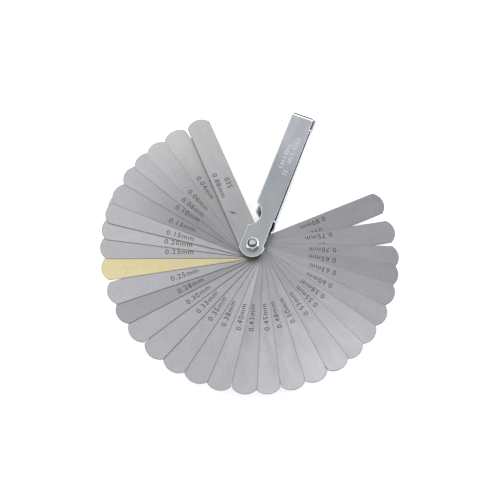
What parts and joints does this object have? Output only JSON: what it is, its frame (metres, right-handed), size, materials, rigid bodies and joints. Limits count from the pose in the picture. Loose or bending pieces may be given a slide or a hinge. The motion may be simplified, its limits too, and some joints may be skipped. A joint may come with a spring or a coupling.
{
  "type": "feeler gauge",
  "caption": "Pocket feeler gauge: a fan of round-ended steel leaves and one brass leaf on a pivot screw, folding into a slim case of folded sheet steel with a thumb notch.",
  "frame": {"origin": "on the pivot axis, in the outer face of the screw head that the gauge rests on", "axes": "+Z along the pivot screw from its head to its nut, +Y along the case from the pivot to its closed end, +X towards the case's spine"},
  "size_m": [0.1577, 0.162, 0.0205],
  "materials": {
    "steel_leaf": "ground spring steel, fine matt grain",
    "brass_leaf": "rolled brass shim, satin",
    "case_plating": "bright plated sheet steel, faintly drawn",
    "fastener_plating": "bright plated steel"
  },
  "bodies": {
    "case": {"case": "case_plating", "screw": "fastener_plating"},
    "nut": {"nut": "fastener_plating"},
    "blade_080": {"blade_080": "steel_leaf"},
    "blade_075": {"blade_075": "steel_leaf"},
    "blade_070": {"blade_070": "steel_leaf"},
    "blade_065": {"blade_065": "steel_leaf"},
    "blade_063": {"blade_063": "steel_leaf"},
    "blade_060": {"blade_060": "steel_leaf"},
    "blade_058": {"blade_058": "steel_leaf"},
    "blade_055": {"blade_055": "steel_leaf"},
    "blade_053": {"blade_053": "steel_leaf"},
    "blade_050": {"blade_050": "steel_leaf"},
    "blade_048": {"blade_048": "steel_leaf"},
    "blade_045": {"blade_045": "steel_leaf"},
    "blade_043": {"blade_043": "steel_leaf"},
    "blade_040": {"blade_040": "steel_leaf"},
    "blade_038": {"blade_038": "steel_leaf"},
    "blade_035": {"blade_035": "steel_leaf"},
    "blade_033": {"blade_033": "steel_leaf"},
    "blade_030": {"blade_030": "steel_leaf"},
    "blade_028": {"blade_028": "steel_leaf"},
    "blade_025": {"blade_025": "steel_leaf"},
    "blade_025_brass": {"blade_025_brass": "brass_leaf"},
    "blade_023": {"blade_023": "steel_leaf"},
    "blade_020": {"blade_020": "steel_leaf"},
    "blade_018": {"blade_018": "steel_leaf"},
    "blade_015": {"blade_015": "steel_leaf"},
    "blade_013": {"blade_013": "steel_leaf"},
    "blade_010": {"blade_010": "steel_leaf"},
    "blade_008": {"blade_008": "steel_leaf"},
    "blade_006": {"blade_006": "steel_leaf"},
    "blade_005": {"blade_005": "steel_leaf"},
    "blade_004": {"blade_004": "steel_leaf"},
    "blade_088": {"blade_088": "steel_leaf"}
  },
  "joints": [
    {"name": "blade_080_swing", "type": "hinge", "parent": "case", "child": "blade_080", "pos_m": [0, 0, 0.01], "axis": [0, 0, 1], "range_deg": [-313.5, 1]},
    {"name": "blade_075_swing", "type": "hinge", "parent": "case", "child": "blade_075", "pos_m": [0, 0, 0.01], "axis": [0, 0, 1], "range_deg": [-300, 14.5]},
    {"name": "blade_070_swing", "type": "hinge", "parent": "case", "child": "blade_070", "pos_m": [0, 0, 0.01], "axis": [0, 0, 1], "range_deg": [-288.5, 26]},
    {"name": "blade_065_swing", "type": "hinge", "parent": "case", "child": "blade_065", "pos_m": [0, 0, 0.01], "axis": [0, 0, 1], "range_deg": [-280.5, 34]},
    {"name": "blade_063_swing", "type": "hinge", "parent": "case", "child": "blade_063", "pos_m": [0, 0, 0.01], "axis": [0, 0, 1], "range_deg": [-272, 42.5]},
    {"name": "blade_060_swing", "type": "hinge", "parent": "case", "child": "blade_060", "pos_m": [0, 0, 0.01], "axis": [0, 0, 1], "range_deg": [-262, 52.5]},
    {"name": "blade_058_swing", "type": "hinge", "parent": "case", "child": "blade_058", "pos_m": [0, 0, 0.01], "axis": [0, 0, 1], "range_deg": [-252.5, 62]},
    {"name": "blade_055_swing", "type": "hinge", "parent": "case", "child": "blade_055", "pos_m": [0, 0, 0.01], "axis": [0, 0, 1], "range_deg": [-243.5, 71]},
    {"name": "blade_053_swing", "type": "hinge", "parent": "case", "child": "blade_053", "pos_m": [0, 0, 0.01], "axis": [0, 0, 1], "range_deg": [-235, 79.5]},
    {"name": "blade_050_swing", "type": "hinge", "parent": "case", "child": "blade_050", "pos_m": [0, 0, 0.01], "axis": [0, 0, 1], "range_deg": [-225, 89.5]},
    {"name": "blade_048_swing", "type": "hinge", "parent": "case", "child": "blade_048", "pos_m": [0, 0, 0.01], "axis": [0, 0, 1], "range_deg": [-215.5, 99]},
    {"name": "blade_045_swing", "type": "hinge", "parent": "case", "child": "blade_045", "pos_m": [0, 0, 0.01], "axis": [0, 0, 1], "range_deg": [-205.5, 109]},
    {"name": "blade_043_swing", "type": "hinge", "parent": "case", "child": "blade_043", "pos_m": [0, 0, 0.01], "axis": [0, 0, 1], "range_deg": [-196.5, 118]},
    {"name": "blade_040_swing", "type": "hinge", "parent": "case", "child": "blade_040", "pos_m": [0, 0, 0.01], "axis": [0, 0, 1], "range_deg": [-186.5, 128]},
    {"name": "blade_038_swing", "type": "hinge", "parent": "case", "child": "blade_038", "pos_m": [0, 0, 0.01], "axis": [0, 0, 1], "range_deg": [-177.5, 137]},
    {"name": "blade_035_swing", "type": "hinge", "parent": "case", "child": "blade_035", "pos_m": [0, 0, 0.01], "axis": [0, 0, 1], "range_deg": [-168, 146.5]},
    {"name": "blade_033_swing", "type": "hinge", "parent": "case", "child": "blade_033", "pos_m": [0, 0, 0.01], "axis": [0, 0, 1], "range_deg": [-158.5, 156]},
    {"name": "blade_030_swing", "type": "hinge", "parent": "case", "child": "blade_030", "pos_m": [0, 0, 0.01], "axis": [0, 0, 1], "range_deg": [-148.5, 166]},
    {"name": "blade_028_swing", "type": "hinge", "parent": "case", "child": "blade_028", "pos_m": [0, 0, 0.01], "axis": [0, 0, 1], "range_deg": [-139, 175.5]},
    {"name": "blade_025_swing", "type": "hinge", "parent": "case", "child": "blade_025", "pos_m": [0, 0, 0.01], "axis": [0, 0, 1], "range_deg": [-130, 184.5]},
    {"name": "blade_025_brass_swing", "type": "hinge", "parent": "case", "child": "blade_025_brass", "pos_m": [0, 0, 0.01], "axis": [0, 0, 1], "range_deg": [-119.5, 195]},
    {"name": "blade_023_swing", "type": "hinge", "parent": "case", "child": "blade_023", "pos_m": [0, 0, 0.01], "axis": [0, 0, 1], "range_deg": [-110.5, 204]},
    {"name": "blade_020_swing", "type": "hinge", "parent": "case", "child": "blade_020", "pos_m": [0, 0, 0.01], "axis": [0, 0, 1], "range_deg": [-102.5, 212]},
    {"name": "blade_018_swing", "type": "hinge", "parent": "case", "child": "blade_018", "pos_m": [0, 0, 0.01], "axis": [0, 0, 1], "range_deg": [-91.5, 223]},
    {"name": "blade_015_swing", "type": "hinge", "parent": "case", "child": "blade_015", "pos_m": [0, 0, 0.01], "axis": [0, 0, 1], "range_deg": [-95.5, 219]},
    {"name": "blade_013_swing", "type": "hinge", "parent": "case", "child": "blade_013", "pos_m": [0, 0, 0.01], "axis": [0, 0, 1], "range_deg": [-87, 227.5]},
    {"name": "blade_010_swing", "type": "hinge", "parent": "case", "child": "blade_010", "pos_m": [0, 0, 0.01], "axis": [0, 0, 1], "range_deg": [-77.5, 237]},
    {"name": "blade_008_swing", "type": "hinge", "parent": "case", "child": "blade_008", "pos_m": [0, 0, 0.01], "axis": [0, 0, 1], "range_deg": [-69.5, 245]},
    {"name": "blade_006_swing", "type": "hinge", "parent": "case", "child": "blade_006", "pos_m": [0, 0, 0.01], "axis": [0, 0, 1], "range_deg": [-62, 252.5]},
    {"name": "blade_005_swing", "type": "hinge", "parent": "case", "child": "blade_005", "pos_m": [0, 0, 0.01], "axis": [0, 0, 1], "range_deg": [-52.5, 262]},
    {"name": "blade_004_swing", "type": "hinge", "parent": "case", "child": "blade_004", "pos_m": [0, 0, 0.01], "axis": [0, 0, 1], "range_deg": [-52, 262.5]},
    {"name": "blade_088_swing", "type": "hinge", "parent": "case", "child": "blade_088", "pos_m": [0, 0, 0.01], "axis": [0, 0, 1], "range_deg": [-41.5, 273]},
    {"name": "nut_turn", "type": "hinge", "parent": "case", "child": "nut", "pos_m": [0, 0, 0.0186], "axis": [0, 0, 1], "range_deg": [0, 90]}
  ]
}
